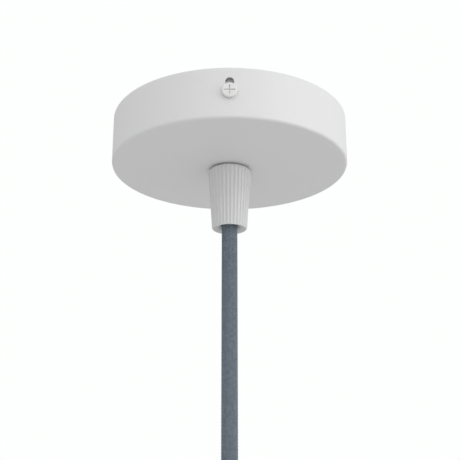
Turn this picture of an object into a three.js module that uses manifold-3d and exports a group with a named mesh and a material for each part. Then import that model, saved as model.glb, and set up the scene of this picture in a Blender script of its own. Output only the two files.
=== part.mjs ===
// Round ceiling canopy for a hanging lamp: a white powder-coated steel cover on
// a bent steel bracket, a ribbed cord grip under it, a three-way terminal block
// and the braided cord that hangs from the grip.
// Units are millimetres, +Z is up. The ceiling is the plane z = 0, the origin is
// the centre of the bracket's top face and everything hangs below it.
import * as THREE from 'three';
import { mergeVertices } from 'three/addons/utils/BufferGeometryUtils.js';
import Module from 'manifold-3d';

// ---------------------------------------------------------------- sizes
const GAP = 0.3;                 // air kept between pieces that touch

const COVER_R = 60;              // cover outside radius
const COVER_H = 25;              // cover height
const COVER_T = 1.0;             // sheet thickness
const COVER_FILLET = 1.2;        // outside bend radius at the lower edge
const COVER_HOLE_R = 5.3;        // centre hole for the M10x1 spigot
const COVER_SEG = 72;

const SLOT_W = 3.9;              // upright slot for the side screw
const SLOT_TOP = -4.9;
const SLOT_BOTTOM = -13.95;
const SCREW_Z = -11.95;          // side screw axis

const STRIP_W = 18;              // bracket strip
const STRIP_T = 1.5;
const STRIP_END = 58.1;          // outer face of the bent-down legs
const STRIP_LEG = -17.5;         // lower end of the legs
const STRIP_BEND = 2.5;          // outside bend radius
const FIX_SLOT_W = 4.0;          // slots for the two ceiling screws
const FIX_SLOT_IN = 41;
const FIX_SLOT_OUT = 53;

const CORD_R = 4.0;              // braided cord
const CORD_END = -177;
const CORD_JOIN = -40;           // inner and free stretches meet in the grip
const CORD_TOP = -15.5;

const CAP_RIBS = 32;
const CAP_TOP = -25.95;
const CAP_LOW = -57.2;           // the rim of the dished lower end
const CAP_MOUTH_Z = -56.35;      // edge of the mouth, up in the dish
const CAP_MOUTH_R = 5.6;         // mouth at its wide end
const CAP_BORE_R = 4.4;          // where the mouth is narrowest
const RIB_DEPTH = 0.55;

const SPIGOT_R = 4.95;
const SPIGOT_TOP = -17.5;
const BORE_R = CORD_R + GAP;

const CORE_R = 1.15;             // insulated cores
const POLE_X = [-10, 0, 10];     // live, neutral, earth
const POLE_Z = -6.5;
const BLOCK_Y0 = 20;
const BLOCK_Y1 = 37;
const TERMINAL_SCREW_Y = [25.2, 31.8];

const EARTH_Y = -16;             // earth screw on the bracket

// ---------------------------------------------------------------- helpers
const wasm = await Module();
wasm.setup();

function clean(geometry) {
  const g = geometry.clone();
  g.deleteAttribute('uv');
  g.deleteAttribute('normal');
  const merged = mergeVertices(g, 1e-4);
  const p = merged.attributes.position.array;
  const idx = Array.from(merged.index.array);
  const tri = [];
  let volume = 0;
  for (let i = 0; i < idx.length; i += 3) {
    const [a, b, c] = [idx[i], idx[i + 1], idx[i + 2]];
    if (a === b || b === c || a === c) continue;
    tri.push(a, b, c);
    const ax = p[3 * a], ay = p[3 * a + 1], az = p[3 * a + 2];
    const bx = p[3 * b], by = p[3 * b + 1], bz = p[3 * b + 2];
    const cx = p[3 * c], cy = p[3 * c + 1], cz = p[3 * c + 2];
    volume += ax * (by * cz - bz * cy) + ay * (bz * cx - bx * cz) + az * (bx * cy - by * cx);
  }
  if (volume < 0) for (let i = 0; i < tri.length; i += 3) [tri[i], tri[i + 1]] = [tri[i + 1], tri[i]];
  merged.setIndex(tri);
  return merged;
}

function solid(geometry) {
  const g = clean(geometry);
  return new wasm.Manifold(new wasm.Mesh({
    numProp: 3,
    vertProperties: new Float32Array(g.attributes.position.array),
    triVerts: new Uint32Array(g.index.array),
  }));
}

function fromSolid(s) {
  const m = s.getMesh();
  const g = new THREE.BufferGeometry();
  const n = m.numProp;
  const pos = new Float32Array((m.vertProperties.length / n) * 3);
  for (let i = 0; i < pos.length / 3; i++) {
    pos[3 * i] = m.vertProperties[n * i];
    pos[3 * i + 1] = m.vertProperties[n * i + 1];
    pos[3 * i + 2] = m.vertProperties[n * i + 2];
  }
  g.setAttribute('position', new THREE.BufferAttribute(pos, 3));
  g.setIndex(Array.from(m.triVerts));
  return g;
}

function cut(base, ...tools) {
  let s = base;
  for (const t of tools) s = s.subtract(t);
  return s;
}

function join(base, ...more) {
  let s = base;
  for (const t of more) s = s.add(t);
  return s;
}

// profile of [radius, height] turned about Z
function lathe(profile, seg) {
  const g = new THREE.LatheGeometry(profile.map(([r, z]) => new THREE.Vector2(r, z)), seg);
  g.rotateX(Math.PI / 2);
  return g;
}

// closed ring: the profile comes back to its first point
function ring(profile, seg) {
  return lathe([...profile, profile[0]], seg);
}

function cylZ(r, z0, z1, x = 0, y = 0, seg = 24) {
  const g = new THREE.CylinderGeometry(r, r, z1 - z0, seg);
  g.rotateX(Math.PI / 2);
  g.translate(x, y, (z0 + z1) / 2);
  return g;
}

function cylY(r, y0, y1, x = 0, z = 0, seg = 24) {
  const g = new THREE.CylinderGeometry(r, r, y1 - y0, seg);
  g.translate(x, (y0 + y1) / 2, z);
  return g;
}

function box(x0, x1, y0, y1, z0, z1) {
  const g = new THREE.BoxGeometry(x1 - x0, y1 - y0, z1 - z0);
  g.translate((x0 + x1) / 2, (y0 + y1) / 2, (z0 + z1) / 2);
  return g;
}

function arc(cx, cz, r, a0, a1, n) {
  const out = [];
  for (let i = 0; i <= n; i++) {
    const a = a0 + ((a1 - a0) * i) / n;
    out.push([cx + r * Math.cos(a), cz + r * Math.sin(a)]);
  }
  return out;
}

function polygonShape(points) {
  return new THREE.Shape(points.map(([u, v]) => new THREE.Vector2(u, v)));
}

function obround(u0, u1, v0, v1, n = 6) {
  // long axis along v, half-round ends
  const r = (u1 - u0) / 2;
  const c = (u0 + u1) / 2;
  return polygonShape([
    ...arc(c, v1 - r, r, 0, Math.PI, n),
    ...arc(c, v0 + r, r, Math.PI, 2 * Math.PI, n),
  ]);
}

function circleShape(r, sides) {
  return polygonShape(arc(0, 0, r, 0, 2 * Math.PI * (1 - 1 / sides), sides - 1));
}

function tube(points, r, sides, steps) {
  const curve = new THREE.CatmullRomCurve3(points.map((p) => new THREE.Vector3(...p)), false, 'centripetal');
  return new THREE.ExtrudeGeometry(circleShape(r, sides), { extrudePath: curve, steps, bevelEnabled: false });
}

const MAT = {
  coat: { color: 0xf4f3f1, roughness: 0.5, metalness: 0.0 },
  zinc: { color: 0xb9bbbd, roughness: 0.35, metalness: 0.9 },
  plastic: { color: 0xe9e8e6, roughness: 0.45, metalness: 0.0 },
  block: { color: 0xf1efe6, roughness: 0.4, metalness: 0.0 },
  brass: { color: 0xc8a252, roughness: 0.3, metalness: 0.95 },
  steel: { color: 0xa9abad, roughness: 0.3, metalness: 0.95 },
  braid: { color: 0x5c6470, roughness: 0.9, metalness: 0.0 },
  sleeve: { color: 0x2b2d30, roughness: 0.6, metalness: 0.0 },
  brown: { color: 0x6a3f22, roughness: 0.45, metalness: 0.0 },
  blue: { color: 0x2f62b0, roughness: 0.45, metalness: 0.0 },
  earth: { color: 0x6aa531, roughness: 0.45, metalness: 0.0 },
  tin: { color: 0xcfd0cf, roughness: 0.35, metalness: 0.9 },
};

const part = new THREE.Group();

function add(name, shape, look) {
  const g = shape instanceof THREE.BufferGeometry ? clean(shape) : clean(fromSolid(shape));
  g.computeVertexNormals();
  const mesh = new THREE.Mesh(g, new THREE.MeshStandardMaterial(look));
  mesh.name = name;
  part.add(mesh);
  return mesh;
}

// ---------------------------------------------------------------- cover
{
  const ri = COVER_FILLET - COVER_T;
  const zc = -COVER_H + COVER_FILLET;
  const rc = COVER_R - COVER_FILLET;
  const body = solid(ring([
    [COVER_HOLE_R, -COVER_H],
    ...arc(rc, zc, COVER_FILLET, -Math.PI / 2, 0, 4),
    [COVER_R, -0.25],
    [COVER_R - 0.25, 0],
    [COVER_R - COVER_T, 0],
    ...arc(rc, zc, ri, 0, -Math.PI / 2, 2),
    [COVER_HOLE_R, -COVER_H + COVER_T],
  ], COVER_SEG));
  const slot = new THREE.ExtrudeGeometry(obround(-SLOT_W / 2, SLOT_W / 2, SLOT_BOTTOM, SLOT_TOP), { depth: 6, bevelEnabled: false });
  slot.rotateX(Math.PI / 2);          // the shape's v becomes z, its depth runs to -y
  const front = slot.clone().translate(0, -57, 0);
  const rear = slot.clone().translate(0, 63, 0);
  add('canopy_cover', cut(body, solid(front), solid(rear)), MAT.coat);
}

// ---------------------------------------------------------------- bracket
{
  const e = STRIP_END, t = STRIP_T, R = STRIP_BEND, r = STRIP_BEND - STRIP_T;
  const outline = [
    [-e, STRIP_LEG],
    [-e + t, STRIP_LEG],
    ...arc(-e + R, -R, r, Math.PI, Math.PI / 2, 3),
    ...arc(e - R, -R, r, Math.PI / 2, 0, 3),
    [e - t, STRIP_LEG],
    [e, STRIP_LEG],
    ...arc(e - R, -R, R, 0, Math.PI / 2, 5),
    ...arc(-e + R, -R, R, Math.PI / 2, Math.PI, 5),
  ];
  const g = new THREE.ExtrudeGeometry(polygonShape(outline), { depth: STRIP_W, bevelEnabled: false });
  g.translate(0, 0, -STRIP_W / 2);
  g.applyMatrix4(new THREE.Matrix4().makeBasis(new THREE.Vector3(0, 1, 0), new THREE.Vector3(0, 0, 1), new THREE.Vector3(1, 0, 0)));
  // rounded corners of the legs, seen from the end
  const c = 4.5, w = STRIP_W / 2;
  const end = polygonShape([
    [w, 1],
    [-w, 1],
    ...arc(-w + c, STRIP_LEG + c, c, Math.PI, 1.5 * Math.PI, 5),
    ...arc(w - c, STRIP_LEG + c, c, 1.5 * Math.PI, 2 * Math.PI, 5),
  ]);
  const ends = new THREE.ExtrudeGeometry(end, { depth: 130, bevelEnabled: false });
  ends.rotateX(Math.PI / 2);
  ends.translate(0, 65, 0);
  let s = solid(g).intersect(solid(ends));
  const fix = new THREE.ExtrudeGeometry(obround(-FIX_SLOT_W / 2, FIX_SLOT_W / 2, FIX_SLOT_IN, FIX_SLOT_OUT), { depth: 4, bevelEnabled: false });
  fix.translate(0, 0, -3);
  const fixRear = fix.clone();
  const fixFront = fix.clone().rotateZ(Math.PI);
  s = cut(s,
    solid(fixRear), solid(fixFront),
    solid(cylZ(2.3, -3, 1, 0, EARTH_Y)),
    solid(cylZ(1.5, -3, 1, -5, (BLOCK_Y0 + BLOCK_Y1) / 2, 16)),
    solid(cylY(2.0, -60, -55, 0, SCREW_Z)),
    solid(cylY(2.0, 55, 60, 0, SCREW_Z)));
  add('ceiling_bracket', s, MAT.zinc);
}

// ---------------------------------------------------------------- screws
// Pan head screw, head's seat at height 0, head below it and shank above it,
// with a full-width slot along X and a shorter one across it. side is the
// upright share of the head's height, round the share of its radius that curves.
function panScrew({ headR, headH, shankR, length, slotW, slotD, crossHalf, slotHalf = headR * 0.92, sides = 18, side = 0.28, round = 0.48 }) {
  const edge = headH * side;
  const dome = [];
  for (let i = 0; i <= 3; i++) {
    const a = (Math.PI / 2) * (i / 3);
    dome.push([headR * (1 - round + round * Math.sin(a)), -headH + (headH - edge) * (1 - Math.cos(a))]);
  }
  const profile = [
    [0, -headH],
    ...dome,
    [headR, 0],
    [shankR, 0],
    [shankR, length - shankR * 0.35],
    [shankR * 0.65, length],
    [0, length],
  ];
  let s = solid(lathe(profile, sides));
  const h = slotHalf;
  s = cut(s, solid(box(-h, h, -slotW / 2, slotW / 2, -headH - 1, -headH + slotD)));
  if (crossHalf) s = cut(s, solid(box(-slotW / 2, slotW / 2, -crossHalf, crossHalf, -headH - 1, -headH + slotD)));
  return fromSolid(s);
}

{
  // side screws: M3.5 x 8, flat 7.1 mm head with a rounded edge
  const g = panScrew({ headR: 3.55, headH: 1.5, shankR: 1.7, length: 8, slotW: 0.5, slotD: 0.7, crossHalf: 2.3, slotHalf: 2.56, side: 0.7, round: 0.16 });
  // head towards -y, shank towards +y, the long slot stays level
  const front = g.clone().applyMatrix4(new THREE.Matrix4().makeBasis(new THREE.Vector3(1, 0, 0), new THREE.Vector3(0, 0, -1), new THREE.Vector3(0, 1, 0)));
  front.translate(0, -COVER_R - GAP, SCREW_Z);
  add('side_screw_front', front, MAT.coat);
  const rear = front.clone().rotateZ(Math.PI);
  add('side_screw_rear', rear, MAT.coat);
}

{
  // earth screw: M4 x 5 with pan head, its washer and the ring terminal
  const zRing = -STRIP_T - GAP;          // top of the ring terminal
  const zWasher = zRing - 0.8 - GAP;
  const zHead = zWasher - 0.6 - GAP;
  const g = panScrew({ headR: 3.9, headH: 2.4, shankR: 1.95, length: -zHead - 0.3, slotW: 0.7, slotD: 0.9, crossHalf: 2.2 });
  g.translate(0, EARTH_Y, zHead);
  add('earth_screw', g, MAT.zinc);

  // toothed washer: notched rim
  let w = solid(ring([[2.3, zWasher - 0.6], [4.3, zWasher - 0.6], [4.3, zWasher], [2.3, zWasher]], 24));
  for (let i = 0; i < 8; i++) {
    const a = (i / 8) * 2 * Math.PI;
    const notch = box(3.5, 5, -0.35, 0.35, zWasher - 2, zWasher + 1);
    notch.rotateZ(a);
    w = w.subtract(solid(notch));
  }
  const wg = fromSolid(w);
  wg.translate(0, EARTH_Y, 0);
  add('earth_washer', wg, MAT.zinc);

  // ring terminal: flat eye, neck and crimped barrel along +X
  const eye = solid(cylZ(4.2, zRing - 0.8, zRing, 0, 0, 20));
  const neck = solid(box(3, 6, -1.5, 1.5, zRing - 0.8, zRing));
  const barrel = new THREE.CylinderGeometry(1.75, 1.75, 5.6, 12);
  barrel.rotateZ(Math.PI / 2);
  barrel.translate(5.4 + 2.8, 0, -3.7);
  const inner = new THREE.CylinderGeometry(CORE_R + GAP, CORE_R + GAP, 5, 12);
  inner.rotateZ(Math.PI / 2);
  inner.translate(6.6 + 2.5, 0, -3.7);
  const hole = solid(cylZ(2.3, -5, 0, 0, 0, 16));
  const rg = fromSolid(cut(join(eye, neck, solid(barrel)), solid(inner), hole));
  rg.translate(0, EARTH_Y, 0);
  add('earth_ring_terminal', rg, MAT.tin);
}

// ---------------------------------------------------------------- cord grip
{
  // body: M10x1 spigot, flange under the cover, thread for the cap, slit collet
  const b = -COVER_H - GAP;
  let s = solid(ring([
    [BORE_R, SPIGOT_TOP],
    [BORE_R, -50],
    [5.2, -50],
    [7.15, -38.4],
    [7.15, -37.8],
    [7.95, -37.4],
    [7.95, b - 2.3],
    [9.4, b - 2.3],
    [9.4, b],
    [SPIGOT_R, b],
    [SPIGOT_R, SPIGOT_TOP - 0.5],
    [SPIGOT_R - 0.4, SPIGOT_TOP],
  ], 28));
  for (const a of [Math.PI / 4, (3 * Math.PI) / 4]) {
    const slit = box(-10, 10, -0.5, 0.5, -52, -39.5);
    slit.rotateZ(a);
    s = s.subtract(solid(slit));
  }
  add('grip_body', s, MAT.plastic);

  // cap: tapered, with upright ribs all round
  const seg = CAP_RIBS * 3;
  const outer = [
    [10.3, CAP_TOP],
    [11.05, CAP_TOP - 0.9],
    [9.41, -48.3],
    [9.0, -55.3],
    [8.92, CAP_LOW + 1.0],
    [8.72, CAP_LOW + 0.35],
    [8.08, CAP_LOW],
  ];
  const ribbed = outer.map(([, z], i) => (i >= 1 && i <= 4 ? 1 : 0));
  const inside = [
    [CAP_MOUTH_R, CAP_MOUTH_Z],
    [CAP_BORE_R, -55.2],
    [CAP_BORE_R, -50.3],
    [5.66, -50.3],
    [8.35, -40],
    [8.35, b - 2.3 - GAP],
    [9.8, b - 2.3 - GAP],
    [9.8, CAP_TOP],
  ];
  const g = ring([...outer, ...inside], seg);
  const p = g.attributes.position;
  const zs = outer.map(([, z]) => z);
  for (let i = 0; i < p.count; i++) {
    const x = p.getX(i), y = p.getY(i), z = p.getZ(i);
    const r = Math.hypot(x, y);
    const k = zs.findIndex((q, j) => Math.abs(q - z) < 1e-3 && Math.abs(outer[j][0] - r) < 1e-3);
    if (k < 0 || !ribbed[k]) continue;
    const phase = ((Math.atan2(y, x) / (2 * Math.PI)) * CAP_RIBS + CAP_RIBS + 0.5) % 1;
    const depth = RIB_DEPTH * (0.5 + 0.5 * Math.cos(2 * Math.PI * phase));
    const f = (r - depth) / r;
    p.setXY(i, x * f, y * f);
  }
  add('grip_cap', g, MAT.plastic);

  const top = -COVER_H + COVER_T + GAP;
  add('grip_washer', ring([[5.4, top], [9, top], [9, top + 0.8], [5.4, top + 0.8]], 24), MAT.zinc);
  const n0 = top + 0.8 + GAP;
  const nut = solid(cylZ(8.1, n0, n0 + 3.2, 0, 0, 6));
  add('grip_locknut', cut(nut, solid(cylZ(SPIGOT_R + GAP, n0 - 1, n0 + 5, 0, 0, 20))), MAT.plastic);
}

// ---------------------------------------------------------------- terminal block
{
  const y0 = BLOCK_Y0, y1 = BLOCK_Y1, ym = (y0 + y1) / 2;
  let s = solid(box(-13.3, 13.3, y0 + 0.6, y1 - 0.6, -3.7, -STRIP_T - GAP));
  const bores = [];
  for (const x of POLE_X) {
    s = s.add(solid(cylY(3.3, y0, y1, x, POLE_Z, 16)));
    bores.push(solid(cylY(2.2, y0 - 1, y1 + 1, x, POLE_Z, 12)));
    for (const y of TERMINAL_SCREW_Y) {
      s = s.add(solid(cylZ(3.0, -13.4, POLE_Z, x, y, 12)));
      bores.push(solid(cylZ(2.05, -14, POLE_Z, x, y, 12)));
    }
  }
  s = s.add(solid(box(-10, 10, y0 + 2.4, y1 - 2.4, -6.4, -3.6)));
  s = cut(s, ...bores,
    solid(cylZ(2.4, -14, -3.7, -5, ym, 12)),
    solid(cylZ(2.4, -14, -3.7, 5, ym, 12)),
    solid(cylZ(1.5, -5, 0, -5, ym, 12)),
    solid(cylZ(1.5, -5, 0, 5, ym, 12)));
  add('terminal_block_body', s, MAT.block);

  const names = ['live', 'neutral', 'earth'];
  const screw = panScrew({ headR: 1.72, headH: 1.5, shankR: 1.15, length: 3.2, slotW: 0.5, slotD: 0.7, crossHalf: 0, sides: 10 });
  POLE_X.forEach((x, i) => {
    let c = solid(cylY(1.9, y0 + 2, y1 - 2, x, POLE_Z, 12));
    c = cut(c, solid(cylY(1.3, y0, y1, x, POLE_Z, 10)));
    for (const y of TERMINAL_SCREW_Y) c = c.subtract(solid(cylZ(1.45, -12, POLE_Z, x, y, 10)));
    add(`terminal_clamp_${names[i]}`, c, MAT.brass);
    TERMINAL_SCREW_Y.forEach((y, j) => {
      const g = screw.clone();
      g.translate(x, y, POLE_Z - 0.85 - GAP - 3.2);
      add(`terminal_screw_${names[i]}_${j ? 'supply' : 'cord'}`, g, MAT.steel);
    });
  });

  // M2.5 screw that holds the block up against the bracket
  const g = panScrew({ headR: 2.1, headH: 1.5, shankR: 1.2, length: 3.7, slotW: 0.5, slotD: 0.6, crossHalf: 1.3, sides: 12 });
  g.translate(-5, ym, -4.0);
  add('block_screw', g, MAT.zinc);
}

// ---------------------------------------------------------------- cord and cores
{
  const straight = (z0, z1, n) => Array.from({ length: n + 1 }, (_, i) => [0, 0, z0 + ((z1 - z0) * i) / n]);
  add('cord_inner', tube(straight(CORD_TOP, CORD_JOIN + GAP / 2, 4), CORD_R, 12, 3), MAT.braid);
  add('cord_free', tube(straight(CORD_JOIN - GAP / 2, CORD_END, 8), CORD_R, 12, 7), MAT.braid);
  add('cord_end_sleeve', ring([
    [CORD_R + GAP, -172.5], [CORD_R + GAP + 0.5, -172.2], [CORD_R + GAP + 0.5, CORD_END + 0.2],
    [CORD_R + GAP, CORD_END],
  ], 20), MAT.sleeve);

  const start = [[-1.3, 0.75], [0, -1.5], [1.3, 0.75]];
  const names = ['live', 'neutral', 'earth'];
  const looks = [MAT.brown, MAT.blue, MAT.earth];
  const z0 = CORD_TOP + GAP, zp = POLE_Z, ye = BLOCK_Y0 + 1;
  const routes = [
    [[-1.3, 0.75, z0], [-1.35, 0.8, z0 + 1.5], [-2.2, 3.0, -9.8], [-5.0, 8.0, -7.4], [-8.6, 14.0, -6.6], [-10, 18.5, zp], [-10, ye, zp]],
    [[0, -1.5, z0], [0, -1.5, z0 + 2.5], [0, -0.6, -8.9], [0, 2.4, -6.4], [0, 7.0, -5.9], [0, 14.0, -6.3], [0, 18.5, zp], [0, ye, zp]],
    [[1.3, 0.75, z0], [1.35, 0.8, z0 + 1.5], [2.2, 3.0, -9.8], [5.0, 8.0, -7.4], [8.6, 14.0, -6.6], [10, 18.5, zp], [10, ye, zp]],
  ];
  names.forEach((n, i) => {
    add(`core_upper_${n}`, tube(routes[i], CORE_R, 8, 14), looks[i]);
    add(`ferrule_upper_${n}`, cylY(0.85, ye + GAP, ye + GAP + 6.5, POLE_X[i], zp, 10), MAT.tin);
  });

  // lower end: the cores come out of the braid, spread a little and end in ferrules
  const zl = CORD_END - GAP;
  names.forEach((n, i) => {
    const [x, y] = start[i];
    const s = 1 + 0.28 * i;
    const at = (k, z) => [x * k, y * k, z];
    add(`core_lower_${n}`, tube([at(1, zl), at(1.02, zl - 3), at(1.5, zl - 8), at(2.1, zl - 13), at(2.5, zl - 17)], CORE_R, 8, 6), looks[i]);
    const f = cylZ(0.85, -6, 0, 0, 0, 10);
    // the ferrule follows the core's end
    const dir = new THREE.Vector3(x * 0.4, y * 0.4, -4).normalize();
    f.applyQuaternion(new THREE.Quaternion().setFromUnitVectors(new THREE.Vector3(0, 0, -1), dir));
    const e = at(2.5, zl - 17);
    f.translate(e[0] + dir.x * GAP * 1.4, e[1] + dir.y * GAP * 1.4, e[2] + dir.z * GAP * 1.4);
    add(`ferrule_lower_${n}`, f, MAT.tin);
  });

  // earth lead from the bracket's screw round to the far side of the block
  const lead = [
    [6.9, EARTH_Y, -3.7], [11.5, EARTH_Y, -3.75], [15.5, EARTH_Y + 2.2, -4.6], [17.4, EARTH_Y + 7, -6.0],
    [17.6, 0, -6.9], [17.4, 14, -6.9], [17.3, 28, -6.6], [17.2, 38, zp], [15.6, 42.6, zp], [13.2, 43.6, zp],
    [10.8, 42.4, zp], [10, 39.6, zp], [10, BLOCK_Y1 - 1, zp],
  ];
  add('earth_lead', tube(lead, CORE_R, 8, 34), MAT.earth);
  add('ferrule_earth_lead', cylY(0.85, BLOCK_Y1 - 1 - GAP - 6.3, BLOCK_Y1 - 1 - GAP, 10, zp, 10), MAT.tin);
}

export default part;
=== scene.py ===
"""Looks of a round ceiling canopy with a ribbed cord grip and a braided lamp cord.

Everything is in metres in the row frame: the ceiling is z = 0, the part hangs below it.
Lengths in the code are millimetres unless a name says otherwise, and MM turns them into metres.
"""
import math

import bpy
import numpy as np
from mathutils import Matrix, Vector


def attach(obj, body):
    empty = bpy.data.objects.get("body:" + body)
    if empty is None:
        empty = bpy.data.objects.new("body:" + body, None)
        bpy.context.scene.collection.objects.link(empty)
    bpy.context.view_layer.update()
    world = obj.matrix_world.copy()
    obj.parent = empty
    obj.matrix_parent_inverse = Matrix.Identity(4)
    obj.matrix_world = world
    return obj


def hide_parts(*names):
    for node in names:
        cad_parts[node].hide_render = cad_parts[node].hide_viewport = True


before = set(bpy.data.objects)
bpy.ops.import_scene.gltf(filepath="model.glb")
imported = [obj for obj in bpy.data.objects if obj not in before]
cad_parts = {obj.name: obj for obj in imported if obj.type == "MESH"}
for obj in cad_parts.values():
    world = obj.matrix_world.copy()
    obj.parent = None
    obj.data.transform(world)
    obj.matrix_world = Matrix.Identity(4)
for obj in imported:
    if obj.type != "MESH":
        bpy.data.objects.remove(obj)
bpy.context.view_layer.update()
MM = 0.001

# ------------------------------------------------------------------ sizes, as in the CAD model
COVER_R, COVER_H, COVER_T, COVER_FILLET, COVER_HOLE_R = 60.0, 25.0, 1.0, 1.2, 5.3
SLOT_W, SLOT_TOP, SLOT_BOTTOM, SCREW_Z = 3.9, -4.9, -13.95, -11.95
STRIP_W, STRIP_T, STRIP_END, STRIP_LEG, STRIP_BEND = 18.0, 1.5, 58.1, -17.5, 2.5
CORD_R, CORD_END, CORD_JOIN, CORD_TOP = 4.0, -177.0, -40.0, -15.5
CAP_RIBS, CAP_TOP, CAP_LOW, CAP_MOUTH_R, CAP_BORE_R, RIB_DEPTH = 32, -25.95, -57.2, 5.6, 4.4, 0.55
CAP_MOUTH_Z = -56.35
SPIGOT_R, SPIGOT_TOP, BORE_R = 4.95, -17.5, 4.3
CORE_R, POLE_X, POLE_Z = 1.15, (-10.0, 0.0, 10.0), -6.5
BLOCK_Y0, BLOCK_Y1, TERMINAL_SCREW_Y, EARTH_Y = 20.0, 37.0, (25.2, 31.8), -16.0
GAP = 0.3

# ------------------------------------------------------------------ camera
cam_data = bpy.data.cameras.new("camera")
cam = bpy.data.objects.new("camera", cam_data)
bpy.context.scene.collection.objects.link(cam)
cam.location = (0.0, -0.39548, -0.19134)
cam.rotation_euler = (math.radians(90 + 17.096), 0, 0)
cam_data.sensor_width = 36.0
cam_data.lens = 829.97 / 460 * 36.0
cam_data.shift_x = (230 - 229.584) / 460
cam_data.shift_y = 0.05
cam_data.clip_start, cam_data.clip_end = 0.01, 50
bpy.context.scene.camera = cam


# ------------------------------------------------------------------ mesh helpers
def link(name, me):
    o = bpy.data.objects.new(name, me)
    bpy.context.scene.collection.objects.link(o)
    return o


def mesh_object(name, verts_mm, faces, smooth=None):
    me = bpy.data.meshes.new(name)
    v = (np.asarray(verts_mm, float) * MM).tolist()
    me.from_pydata(v, [], [tuple(int(i) for i in f) for f in faces])
    me.validate()
    me.update()
    o = link(name, me)
    shade(o, smooth)
    return o


def shade(o, angle=None):
    """Smooth shading, with edges sharper than angle (degrees) kept sharp."""
    me = o.data
    me.polygons.foreach_set("use_smooth", [True] * len(me.polygons))
    if angle is not None:
        me.set_sharp_from_angle(angle=math.radians(angle))
    me.update()


def applied(o):
    dg = bpy.context.evaluated_depsgraph_get()
    me = bpy.data.meshes.new_from_object(o.evaluated_get(dg))
    old = o.data
    o.modifiers.clear()
    o.data = me
    name = old.name
    bpy.data.meshes.remove(old)
    me.name = name
    return o


def boolean(o, cutters, op="DIFFERENCE"):
    for c in cutters:
        m = o.modifiers.new("b", "BOOLEAN")
        m.operation = op
        m.object = c
        m.solver = "EXACT"
    applied(o)
    for c in cutters:
        me = c.data
        bpy.data.objects.remove(c)
        bpy.data.meshes.remove(me)
    return o


def rounded(o, width, angle=35, segments=2, smooth=40):
    m = o.modifiers.new("bevel", "BEVEL")
    m.width = width * MM
    m.segments = segments
    m.limit_method = "ANGLE"
    m.angle_limit = math.radians(angle)
    m.miter_outer = "MITER_ARC"
    applied(o)
    shade(o, smooth)
    return o


def arc(cx, cz, r, a0, a1, n):
    return [(cx + r * math.cos(a0 + (a1 - a0) * i / n), cz + r * math.sin(a0 + (a1 - a0) * i / n)) for i in range(n + 1)]


def ring_faces(k0, k1, n, flip=False):
    """Quads between two rings of n vertices that start at k0 and k1."""
    f = []
    for j in range(n):
        a, b = j, (j + 1) % n
        q = (k0 + a, k0 + b, k1 + b, k1 + a)
        f.append(q[::-1] if flip else q)
    return f


def lathe(name, profile, seg=64, closed=False, shape=None, smooth=40):
    """profile: (radius, height) pairs, going up the outside; a radius of 0 at an end is a pole.
    closed joins the last pair to the first. shape(theta, r, z) can change the radius."""
    verts, rings = [], []
    th = np.arange(seg) * 2 * math.pi / seg
    for r, z in profile:
        if r <= 1e-9:
            rings.append((len(verts), 1))
            verts.append((0, 0, z))
            continue
        rings.append((len(verts), seg))
        for t in th:
            rr = shape(t, r, z) if shape else r
            verts.append((rr * math.cos(t), rr * math.sin(t), z))
    faces = []
    pairs = list(zip(rings[:-1], rings[1:]))
    if closed:
        pairs.append((rings[-1], rings[0]))
    for (a, na), (b, nb) in pairs:
        if na == seg and nb == seg:
            faces += ring_faces(a, b, seg)
        elif na == 1 and nb == seg:
            faces += [(a, b + (j + 1) % seg, b + j) for j in range(seg)]
        elif na == seg and nb == 1:
            faces += [(a + j, a + (j + 1) % seg, b) for j in range(seg)]
    o = mesh_object(name, verts, faces, smooth)
    outward(o)
    return o


def outward(o):
    """Turns all faces over if the mesh is inside out."""
    me = o.data
    co = np.zeros(len(me.vertices) * 3)
    me.vertices.foreach_get("co", co)
    co = co.reshape(-1, 3)
    me.calc_loop_triangles()
    t = np.zeros(len(me.loop_triangles) * 3, int)
    me.loop_triangles.foreach_get("vertices", t)
    t = t.reshape(-1, 3)
    vol = np.einsum("ij,ij->i", co[t[:, 0]], np.cross(co[t[:, 1]], co[t[:, 2]])).sum()
    if vol < 0:
        me.flip_normals()
    return o


def moved(o, x=0.0, y=0.0, z=0.0):
    from mathutils import Matrix
    o.data.transform(Matrix.Translation((x * MM, y * MM, z * MM)))
    return o


def turned(o, rows):
    """rows: the new x, y and z as rows of a 3 by 3 matrix."""
    from mathutils import Matrix
    o.data.transform(Matrix(rows).to_4x4())
    return o


def cyl(name, r, z0, z1, seg=48, x=0.0, y=0.0):
    return moved(lathe(name, [(0, z0), (r, z0), (r, z1), (0, z1)], seg), x, y)


def cyl_y(name, r, y0, y1, x=0.0, z=0.0, seg=48):
    o = lathe(name, [(0, y0), (r, y0), (r, y1), (0, y1)], seg)
    turned(o, ((1, 0, 0), (0, 0, 1), (0, -1, 0)))
    return moved(o, x, 0, z)


def block(name, x0, x1, y0, y1, z0, z1):
    v = [(x, y, z) for z in (z0, z1) for y in (y0, y1) for x in (x0, x1)]
    f = [(0, 2, 3, 1), (4, 5, 7, 6), (0, 1, 5, 4), (2, 6, 7, 3), (0, 4, 6, 2), (1, 3, 7, 5)]
    return mesh_object(name, v, f, 30)


def prism(name, outline, depth, rows=((1, 0, 0), (0, 1, 0), (0, 0, 1))):
    """outline (u, v) pairs, extruded along w from 0 to depth, then turned by rows."""
    n = len(outline)
    v = [(u, w, 0.0) for u, w in outline] + [(u, w, depth) for u, w in outline]
    f = [tuple(range(n))[::-1], tuple(range(n, 2 * n))] + [(i, (i + 1) % n, n + (i + 1) % n, n + i) for i in range(n)]
    o = mesh_object(name, v, f, 30)
    turned(o, rows)
    return outward(o)


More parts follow.
